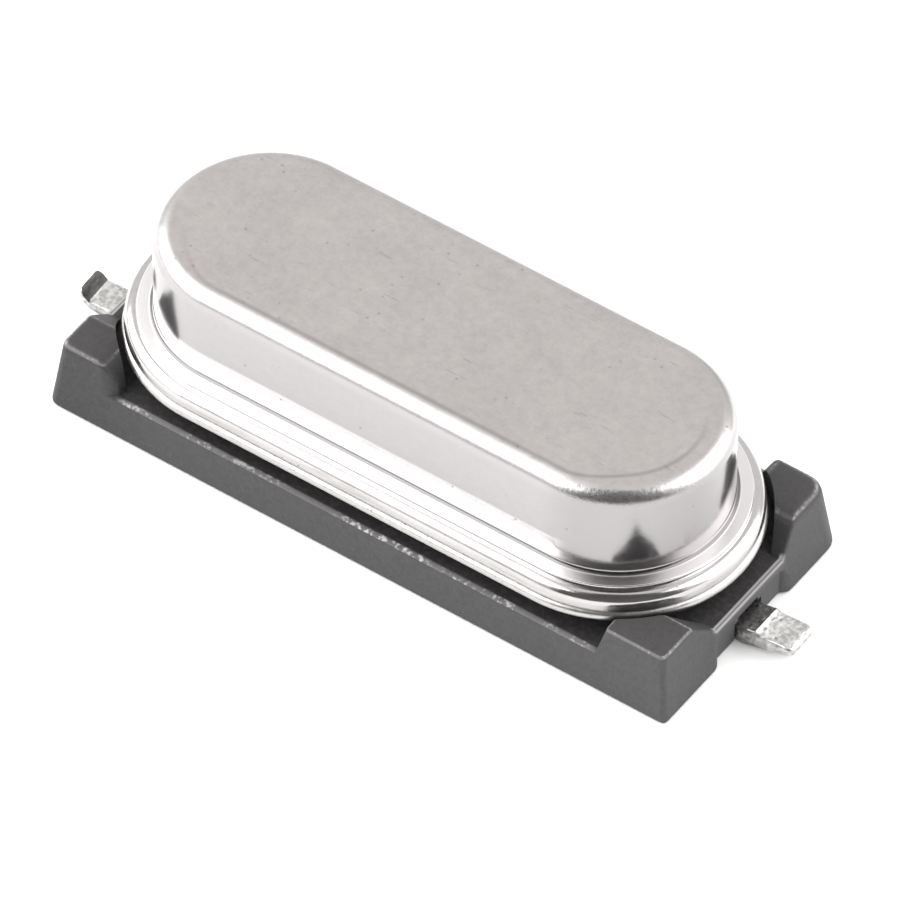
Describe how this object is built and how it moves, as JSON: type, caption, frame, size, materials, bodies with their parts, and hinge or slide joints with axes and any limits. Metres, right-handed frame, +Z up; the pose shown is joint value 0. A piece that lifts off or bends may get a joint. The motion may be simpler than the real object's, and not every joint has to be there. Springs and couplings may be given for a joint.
{
  "type": "crystal oscillator",
  "caption": "Low-profile surface-mount quartz crystal: a drawn metal can with rounded ends on a dark moulded base, with a flattened lead out of each end.",
  "frame": {"origin": "middle of the underside of the moulded base", "axes": "+X along the length, from the lead with the turned-up tip to the rising one; +Y across; +Z up through the can"},
  "size_m": [0.0131, 0.0046, 0.0033],
  "materials": {
    "base_plastic": "matte moulded dark grey",
    "header_metal": "bright nickel plated",
    "can_metal": "drawn nickel silver, satin top and bright walls",
    "lead_metal": "tinned, slightly marked",
    "seal_glass": "fused glass",
    "clip_metal": "thin spring strip",
    "quartz": "lapped quartz",
    "electrode_metal": "evaporated silver film",
    "cement": "cured conductive cement"
  },
  "bodies": {
    "root": {"base": "base_plastic", "header": "header_metal", "cap": "can_metal", "seal_left": "seal_glass", "seal_right": "seal_glass", "lead_left": "lead_metal", "lead_right": "lead_metal", "clip_left": "clip_metal", "clip_right": "clip_metal", "blank": "quartz", "electrode_top": "electrode_metal", "electrode_bottom": "electrode_metal", "cement_left": "cement", "cement_right": "cement"}
  },
  "joints": []
}
